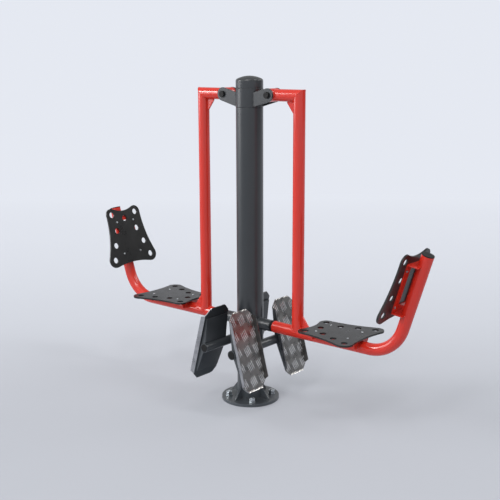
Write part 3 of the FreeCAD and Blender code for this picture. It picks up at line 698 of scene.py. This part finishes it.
def lens_bar(tread, steps, smooth):
    """One raised bar along X: a long lens that rises and narrows in steps."""
    shape = bmesh.new()
    ring = bmesh.ops.create_circle(shape, cap_ends=True, segments=16, radius=1.0)["verts"]
    bmesh.ops.scale(shape, vec=(tread.bar_length / 2, tread.bar_width / 2, 1), verts=ring)
    bmesh.ops.translate(shape, vec=(0, 0, -SUNK_SHARE * tread.bar_height), verts=ring)
    top = everything(shape)
    for rise, along, across in steps:
        first = len(shape.faces) == 1
        top = bmesh.ops.extrude_face_region(shape, geom=top, use_keep_orig=first)["geom"]
        verts = [item for item in top if isinstance(item, bmesh.types.BMVert)]
        bmesh.ops.translate(shape, vec=(0, 0, rise * tread.bar_height), verts=verts)
        bmesh.ops.scale(shape, vec=(along, across, 1), verts=verts)
    bmesh.ops.recalc_face_normals(shape, faces=shape.faces[:])
    for face in shape.faces:
        face.smooth = smooth
    return add_mesh("lens_bar", shape)


def tread_places(tread):
    """Place of every bar that can touch the plate before it is trimmed, and 1 for a level one."""
    places = []
    across = round(tread.half_width / tread.cell_across) + 1
    along = round(tread.half_length / tread.cell_along) + 1
    for column in range(-2 * across, 2 * across + 1):
        for row in range(-2 * along, 2 * along + 1):
            if (column + row) % 2:
                continue
            middle = Vector((column * tread.cell_across / 2, row * tread.cell_along / 2, 0))
            cross = column % 2
            if cross:
                turn, count, pitch = tread.slant, tread.cross_bars, tread.cross_pitch
            else:
                turn = math.pi / 2 + tread.slant
                count, pitch = tread.bars_per_group, tread.bar_pitch
            for step in range(count):
                off = (step - (count - 1) / 2) * pitch
                side = Vector((-math.sin(turn), math.cos(turn), 0)) * off
                place = Matrix.Translation(middle + side) @ Matrix.Rotation(turn, 4, "Z")
                places.append((place, cross))
    return places


def trim(shape, point, outward):
    """Cut everything away beyond a plane, and close the cut bars."""
    cut = bmesh.ops.bisect_plane(
        shape, geom=everything(shape), plane_co=point, plane_no=outward, clear_outer=True)
    edges = [item for item in cut["geom_cut"] if isinstance(item, bmesh.types.BMEdge)]
    bmesh.ops.holes_fill(shape, edges=edges)


def bend_lip(shape, line, way, hinge, tilt):
    """Bend the bars beyond a line with the lip they lie on."""
    bmesh.ops.bisect_plane(
        shape, geom=everything(shape), plane_co=(0, line, 0), plane_no=(0, 1, 0))
    verts = [vert for vert in shape.verts if way * (vert.co.y - line) > MERGE_DISTANCE / 2]
    turn = Matrix.Rotation(tilt, 3, "X")
    bmesh.ops.rotate(shape, cent=(0, line, hinge), matrix=turn, verts=verts)


def tread_pattern(tread):
    """Bars of one plate, laid flat, trimmed to its outline and bent with its lips."""
    bars = (lens_bar(tread, ARCHED_STEPS, True), lens_bar(tread, FLAT_STEPS, False))
    pattern = bmesh.new()
    for place, cross in tread_places(tread):
        first_vert = len(pattern.verts)
        first_face = len(pattern.faces)
        pattern.from_mesh(bars[cross])
        pattern.verts.ensure_lookup_table()
        pattern.faces.ensure_lookup_table()
        bmesh.ops.transform(pattern, matrix=place, verts=pattern.verts[first_vert:])
        # Upright bars take the paler copy of the metal and level bars the darker one: painted
        # highlight and painted shade.
        for face in pattern.faces[first_face:]:
            face.material_index = cross
    corner_x = tread.half_width - tread.corner / 2
    corner_y = tread.half_length - tread.corner / 2
    for x in (-1, 1):
        trim(pattern, (x * tread.half_width, 0, 0), (x, 0, 0))
        trim(pattern, (0, x * tread.half_length, 0), (0, x, 0))
        for y in (-1, 1):
            trim(pattern, (x * corner_x, y * corner_y, 0), (x, y, 0))
    bend_lip(pattern, tread.heel_lip - tread.half_length, -1, -tread.sheet, -tread.lip_tilt)
    bend_lip(pattern, tread.half_length - tread.toe_lip, 1, 0, -tread.lip_tilt)
    return add_mesh("tread_pattern", pattern)


class STATION_OT_tread_bars(bpy.types.Operator):
    """Raise the slanted bars on the four tread plates"""

    bl_idname = "station.tread_bars"
    bl_label = "Tread bars"

    def execute(self, context):
        tread = context.scene.station_tread
        flat = tread_pattern(tread)
        axis = middle_of("right_footrest_bar")[0]
        # The pattern's X lies across the plate, its Y runs up and its Z points to the sitter
        upright = Matrix(((0, 0, 1, 0), (1, 0, 0, 0), (0, 1, 0, 0), (0, 0, 0, 1)))
        lift = Matrix.Translation((tread.stand_off + tread.sheet, 0, 0))
        lean = Matrix.Rotation(-tread.lean, 4, "Y")
        for end in ENDS:
            for side in SIDES:
                way = 1 if (end == "back") == (side == "right") else -1
                stand = Matrix.Translation((axis.x, way * tread.spread, axis.z))
                place = stand @ lean @ lift @ upright
                if side == "left":
                    place = HALF_TURN @ place
                shape = bmesh.new()
                shape.from_mesh(flat)
                bmesh.ops.transform(shape, matrix=place, verts=shape.verts[:])
                name = "%s_%s_tread_bars" % (end, side)
                # Bars in the painted highlight metal, with the painted shade metal added for the
                # level bars
                bars = new_piece(name, shape, "upright_bars_highlight", "frame")
                bars.data.materials.append(bpy.data.materials["level_bars_shade"])
        return {"FINISHED"}


# Sizes of the beads beside the plain one
PLAIN_BEAD = 1.0
POST_BEAD = 1.3
BAR_BEAD = 1.1
BRACKET_BEAD = 0.9
GUSSET_BEAD = 0.8
HUB_BEAD = 0.6
GROUND_BEAD = 0.35

# Points of a bead from one ripple to the next
RIPPLE_POINTS = 4


def round_path(rule, start=0.0, stop=2 * math.pi, steps=96):
    """Points that a rule gives from start to stop."""
    return [Vector(rule(start + (stop - start) * step / steps)) for step in range(steps + 1)]


def tube_ring(tube, level, reach, **span):
    """Ring round a level tube, whose points lie as far out as reach says for their turn."""
    return round_path(lambda turn: (
        reach(turn), tube * math.cos(turn), level + tube * math.sin(turn)), **span)


def even_path(path, step):
    """The same path with points at even steps."""
    points = [path[0]]
    room = step
    for first, second in zip(path, path[1:]):
        length = (second - first).length
        gone = room
        while gone <= length:
            points.append(first.lerp(second, gone / length))
            gone += step
        room = gone - length
    return points


def turned_paths(paths):
    """The same beads on the other side of the post."""
    return [([HALF_TURN @ point for point in path], size) for path, size in paths]


def weld_beads(name, welds, paths, finish, body):
    """One piece with a rippled bead along every path of a body."""
    curve = bpy.data.curves.new(name, "CURVE")
    curve.dimensions = "3D"
    curve.bevel_depth = welds.bead
    curve.bevel_resolution = 1
    curve.use_fill_caps = True
    for path, size in paths:
        points = even_path(path, welds.ripple / RIPPLE_POINTS)
        spline = curve.splines.new("POLY")
        spline.points.add(len(points) - 1)
        for place, (point, end) in enumerate(zip(points, spline.points)):
            wave = math.sin(place * 2 * math.pi / RIPPLE_POINTS)
            end.co = (*point, 1)
            end.radius = size * (1 + welds.ripple_depth * wave)
    holder = bpy.data.objects.new(name, curve)
    bpy.context.scene.collection.objects.link(holder)
    shape = bmesh.new()
    shape.from_mesh(bpy.data.meshes.new_from_object(holder))
    bpy.data.objects.remove(holder)
    for face in shape.faces:
        face.smooth = True
    new_piece(name, shape, finish, body)


def frame_welds(welds):
    """Paths of the beads on the part that stands still."""
    post = middle_of("post_tube")[1].x
    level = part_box("base_flange")[1].z
    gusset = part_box("base_gussets")[1]
    paths = [(round_path(
        lambda turn: (post * math.cos(turn), post * math.sin(turn), level), steps=200), POST_BEAD)]
    for quarter in range(4):
        turn = Matrix.Rotation(quarter * math.pi / 2, 3, "Z")
        for side in (-welds.base_gusset, welds.base_gusset):
            root = turn @ Vector((post, side, level))
            for tip in ((gusset.x, side, level), (post, side, gusset.z)):
                paths.append(([root, turn @ Vector(tip)], PLAIN_BEAD))
    tube = middle_of("right_top_tube")[1].y
    seat = middle_of("right_bump_plate")[0].z
    right = [(tube_ring(
        tube, seat, lambda turn: math.sqrt(post ** 2 - (tube * math.cos(turn)) ** 2)), PLAIN_BEAD)]
    head = middle_of("pivot_head")[1].x
    ear_low, ear_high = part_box("right_pivot_ears")
    reach = math.sqrt(head ** 2 - ear_high.y ** 2)
    for side in (-ear_high.y, ear_high.y):
        ends = (ear_low.z, ear_low.z + welds.ear_root)
        right.append(([Vector((reach, side, end)) for end in ends], PLAIN_BEAD))
    # The footrest bar's beads lie in the hollows over and under it, half way from bar to post
    bar, bar_half = middle_of("right_footrest_bar")
    drop = bar_half.x / 2
    hollow = bar.x - math.sqrt(bar_half.x ** 2 - drop ** 2)
    for rise in (-drop, drop):
        right.append((round_path(
            lambda side: ((math.sqrt(post ** 2 - side ** 2) + hollow) / 2, side, bar.z + rise),
            -welds.bar_root, welds.bar_root, steps=24), BAR_BEAD))
    return paths + right + turned_paths(right)


def arm_welds(welds):
    """Paths of the beads on the right arm."""
    hub, hub_half = middle_of("right_pivot_hub")
    tube = middle_of("right_top_tube")[1].y
    corner = middle_of("right_hanger_tube")[0].x
    seat = middle_of("right_bump_plate")[0].z
    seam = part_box("right_bump_plate")[1].x
    paths = [
        (tube_ring(tube, hub.z, lambda turn: (
            hub.x + math.sqrt(hub_half.x ** 2 - (tube * math.sin(turn)) ** 2))), HUB_BEAD),
        (round_path(lambda turn: (
            corner + tube * math.cos(turn), tube * math.sin(turn),
            hub.z + tube * math.cos(turn))), GROUND_BEAD),
        (round_path(lambda turn: (
            corner + tube * math.cos(turn), tube * math.sin(turn),
            seat + abs(tube * math.cos(turn)))), PLAIN_BEAD),
        (tube_ring(tube, seat, lambda turn: seam), GROUND_BEAD),
    ]
    gussets = ((corner - tube, hub.z - tube, -1), (corner + tube, seat + tube, 1))
    for end, level, way in gussets:
        legs = (way * welds.gusset_along, 0, 0), (0, 0, way * welds.gusset_upright)
        for side in (-welds.arm_gusset, welds.arm_gusset):
            root = Vector((end, side, level))
            for leg in legs:
                paths.append(([root, root + Vector(leg)], GUSSET_BEAD))
    low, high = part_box("right_seat_bracket")
    for end in (low.x, high.x):
        ring = tube_ring(tube, seat, lambda turn: end, stop=math.pi, steps=60)
        paths.append((ring, BRACKET_BEAD))
    up = Vector((math.sin(welds.back_lean), 0, math.cos(welds.back_lean)))
    out = Vector((-up.z, 0, up.x))
    across = Vector((0, 1, 0))
    middle = middle_of("right_back_tube_plug")[0]
    middle.y = 0
    middle -= up * welds.back_bracket
    half = (high.x - low.x) / 2
    for end in (-half, half):
        paths.append((round_path(
            lambda turn: middle + up * end + tube * (
                across * math.cos(turn) + out * math.sin(turn)),
            stop=math.pi, steps=60), BRACKET_BEAD))
    return paths


class STATION_OT_welds(bpy.types.Operator):
    """Lay painted weld beads where plates and tubes meet"""

    bl_idname = "station.welds"
    bl_label = "Welds"

    def execute(self, context):
        welds = context.scene.station_welds
        weld_beads(
            "frame_weld_beads", welds, frame_welds(welds),
            "anthracite_powder_coat", "frame")
        right = arm_welds(welds)
        for side, paths in zip(SIDES, (right, turned_paths(right))):
            arm = side + "_arm"
            weld_beads(arm + "_weld_beads", welds, paths, "red_powder_coat", arm)
        return {"FINISHED"}


class STATION_OT_stud_ends(bpy.types.Operator):
    """Fill the anchor nuts with the ends of the foundation's studs"""

    bl_idname = "station.stud_ends"
    bl_label = "Stud ends"

    def execute(self, context):
        welds = context.scene.station_welds
        low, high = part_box("anchor_nuts")
        depth = high.z + welds.stud_proud - low.z
        studs = bmesh.new()
        for quarter in range(4):
            turn = (quarter + 0.5) * math.pi / 2
            place = Matrix.Translation((
                math.cos(turn) * welds.stud_circle, math.sin(turn) * welds.stud_circle,
                low.z + depth / 2))
            bmesh.ops.create_cone(
                studs, cap_ends=True, segments=32, radius1=welds.stud_radius,
                radius2=welds.stud_radius, depth=depth, matrix=place)
        ends = [edge for edge in studs.edges if all(vert.co.z > high.z for vert in edge.verts)]
        bmesh.ops.bevel(
            studs, geom=ends, offset=welds.stud_chamfer, offset_type="OFFSET", affect="EDGES",
            segments=1, profile=0.5, material=-1, clamp_overlap=True)
        new_piece("stud_ends", studs, "zinc_plate", "frame")
        return {"FINISHED"}


# Where the floor's fade has come to: share of the way, and share of the far colour
FLOOR_MARKS = ((0.06, 0.04), (0.24, 0.33), (0.40, 0.50), (0.65, 0.74))

# Soft boxes: name, setting for the brightness, turn from the camera and rise in degrees,
# width and height in metres
SOFT_BOXES = (
    ("key_box", "key_glow", -28, 47, 4.2, 9.3),
    ("left_box", "left_glow", -95, 12, 10.7, 12.0),
    ("left_core", "left_core", -90, 27, 4.2, 5.8),
    ("right_box", "right_glow", 111, 33, 9.6, 8.0),
    ("middle_strip", "strip_glow", 0, 66, 1.6, 6.4),
    ("right_strip", "key_glow", 68, 54, 3.4, 11.5),
)

# How far the floor runs on past the backdrop's foot
FLOOR_MARGIN = 1.0


def floor_depth(tree, place, stage):
    """How far the floor runs towards the backdrop: behind the station, or well away from it."""
    turned = add_node(
        tree, "ShaderNodeMapping", {"Vector": place, "Rotation": (0, 0, -stage.turn)})
    parts = add_node(tree, "ShaderNodeSeparateXYZ", {"Vector": turned.outputs["Vector"]})
    radius = add_node(tree, "ShaderNodeVectorMath", {0: place}, operation="LENGTH")
    beyond = add_node(tree, "ShaderNodeMath", {
        0: radius.outputs["Value"], 1: stage.clear_floor}, operation="SUBTRACT")
    depth = add_node(tree, "ShaderNodeMath", {
        0: parts.outputs["Y"], 1: beyond.outputs["Value"]}, operation="MAXIMUM")
    return depth.outputs["Value"]


def floor_finish(stage):
    """Matt studio floor that fades into the backdrop behind the station."""
    values = {"Roughness": 0.9, "Specular IOR Level": 0.1}
    material, tree, shader, place = new_finish("studio_floor", values)
    depth = floor_depth(tree, place, stage)
    way = add_node(tree, "ShaderNodeMapRange", {
        "Value": depth, "From Min": stage.fade_start, "From Max": stage.fade_end})
    tone = tint(tree, way.outputs["Result"], stage.near_floor, stage.far_floor, 0.0, 1.0)
    for step, share in FLOOR_MARKS:
        colours = zip(stage.near_floor, stage.far_floor)
        mark = tone.node.color_ramp.elements.new(step)
        mark.color = (*[near + share * (far - near) for near, far in colours], 1)
    tree.links.new(tone, shader.inputs["Base Color"])
    fade = add_node(tree, "ShaderNodeMapRange", {
        "Value": depth, "From Min": stage.glow_start, "From Max": stage.glow_end,
        "To Min": stage.floor_glow}, interpolation_type="SMOOTHSTEP")
    glow = add_node(tree, "ShaderNodeEmission", {"Color": tone})
    blend = add_node(tree, "ShaderNodeMixShader", {
        "Fac": fade.outputs["Result"], 1: shader.outputs["BSDF"], 2: glow.outputs["Emission"]})
    tree.links.new(blend.outputs["Shader"], tree.nodes["Material Output"].inputs["Surface"])
    return material


def glowing_card(name, colour):
    """Plain card that shines in its own colour and reflects nothing."""
    return new_finish(name, {
        "Base Color": (0, 0, 0, 1), "Specular IOR Level": 0.0,
        "Emission Color": (*colour, 1), "Emission Strength": 1.0})[0]


def stage_piece(name, shape, finish):
    """Turn a bmesh into a piece of the studio."""
    piece = add_object(name, shape, finish)
    return piece


def toward(stage, turn, rise):
    """Direction by its turn from the camera and its height over the horizon."""
    angle = stage.turn + turn - math.pi / 2
    level = math.cos(rise)
    return Vector((math.cos(angle) * level, math.sin(angle) * level, math.sin(rise)))


def lay_floor(stage):
    """Round floor with the backdrop all about it."""
    floor = bmesh.new()
    reach = stage.backdrop_radius + FLOOR_MARGIN
    bmesh.ops.create_circle(floor, cap_ends=True, segments=96, radius=reach)
    stage_piece("studio_floor", floor, floor_finish(stage))
    band = bmesh.new()
    bmesh.ops.create_cone(
        band, segments=96, radius1=stage.backdrop_radius, radius2=stage.backdrop_radius,
        depth=2 * stage.backdrop_height)
    stage_piece("studio_backdrop", band, glowing_card("studio_backdrop", stage.far_floor))


def stand_card(stage):
    """Darker card at the right, which shows only in the metal and paint."""
    card = bmesh.new()
    bmesh.ops.create_grid(card, x_segments=1, y_segments=1, size=0.5)
    bmesh.ops.scale(card, vec=(stage.card_width, stage.card_height, 1), verts=card.verts[:])
    aside = stage.card_distance * toward(stage, stage.card_turn, 0)
    stand = Matrix.Translation(aside + Vector((0, 0, stage.card_height / 2)))
    stand @= aside.to_track_quat("Z", "Y").to_matrix().to_4x4()
    bmesh.ops.transform(card, matrix=stand, verts=card.verts[:])
    finish = glowing_card("shade_card", shade(stage.far_floor, stage.right_shade))
    stage_piece("shade_card", card, finish).visible_camera = False


def hang_lamp(name, lamp, place, target):
    """Hang a lamp that the camera doesn't see, and turn it to a target."""
    holder = bpy.data.objects.new(name, lamp)
    bpy.context.scene.collection.objects.link(holder)
    holder.location = place
    holder.rotation_euler = (target - place).to_track_quat("-Z", "Y").to_euler()
    holder.visible_camera = False


def hang_lights(scene, stage):
    """Even light of the room, the wide key light and the soft boxes."""
    world = bpy.data.worlds.new("studio_room")
    world.use_nodes = True
    room = world.node_tree.nodes["Background"]
    room.inputs["Color"].default_value = (*stage.room, 1)
    room.inputs["Strength"].default_value = stage.room_light
    scene.world = world
    target = Vector((0, 0, stage.aim_height))
    key = bpy.data.lights.new("key_light", "SUN")
    key.energy = stage.key_light
    key.angle = stage.key_spread
    way = toward(stage, stage.key_turn, stage.key_rise)
    hang_lamp("key_light", key, target + stage.box_distance * way, target)
    for name, glow, turn, rise, width, height in SOFT_BOXES:
        box = bpy.data.lights.new(name, "AREA")
        box.shape = "RECTANGLE"
        box.size = width
        box.size_y = height
        box.energy = getattr(stage, glow) * math.pi * box.size * box.size_y
        way = toward(stage, math.radians(turn), math.radians(rise))
        hang_lamp(name, box, target + stage.box_distance * way, target)


def set_camera(scene, stage):
    """Camera at the photograph's viewing angle."""
    lens = bpy.data.cameras.new("photo_camera")
    lens.sensor_fit = "HORIZONTAL"
    lens.sensor_width = 36.0
    lens.lens = stage.lens
    lens.shift_y = stage.shift
    lens.clip_end = 1000.0
    camera = bpy.data.objects.new("photo_camera", lens)
    scene.collection.objects.link(camera)
    camera.location = stage.eye
    aim = Matrix.Rotation(stage.turn, 3, "Z") @ Matrix.Rotation(math.pi / 2 - stage.pitch, 3, "X")
    camera.rotation_euler = (aim @ Matrix.Rotation(stage.roll, 3, "Z")).to_euler()
    scene.camera = camera


class STATION_OT_studio(bpy.types.Operator):
    """Lay the pale floor and backdrop, and set the lights and the camera"""

    bl_idname = "station.studio"
    bl_label = "Studio"

    def execute(self, context):
        scene = context.scene
        stage = scene.station_stage
        lay_floor(stage)
        stand_card(stage)
        hang_lights(scene, stage)
        set_camera(scene, stage)
        scene.view_settings.view_transform = "Standard"
        return {"FINISHED"}


OPERATORS = (
    STATION_OT_finishes,
    STATION_OT_soft_edges,
    STATION_OT_tread_bars,
    STATION_OT_welds,
    STATION_OT_stud_ends,
    STATION_OT_studio,
)

GROUPS = {
    PaintSettings: "station_paint",
    EdgeSettings: "station_edges",
    TreadSettings: "station_tread",
    WeldSettings: "station_welds",
    StageSettings: "station_stage",
}


class STATION_PT_sidebar(bpy.types.Panel):
    """Steps that dress the station"""

    bl_idname = "STATION_PT_sidebar"
    bl_label = "Leg Press Station"
    bl_space_type = "VIEW_3D"
    bl_region_type = "UI"
    bl_category = "Station"

    def draw(self, context):
        for operator in OPERATORS:
            self.layout.operator(operator.bl_idname)
        for group, name in GROUPS.items():
            for setting in group.__annotations__:
                self.layout.prop(getattr(context.scene, name), setting)


def register():
    for group, name in GROUPS.items():
        bpy.utils.register_class(group)
        setattr(bpy.types.Scene, name, PointerProperty(type=group))
    for kind in OPERATORS + (STATION_PT_sidebar,):
        bpy.utils.register_class(kind)


def unregister():
    for kind in reversed(OPERATORS + (STATION_PT_sidebar,)):
        bpy.utils.unregister_class(kind)
    for group, name in GROUPS.items():
        delattr(bpy.types.Scene, name)
        bpy.utils.unregister_class(group)


def main():
    register()
    bpy.ops.station.finishes()
    bpy.ops.station.soft_edges()
    bpy.ops.station.tread_bars()
    bpy.ops.station.welds()
    bpy.ops.station.stud_ends()
    bpy.ops.station.studio()


if __name__ == "__main__":
    main()
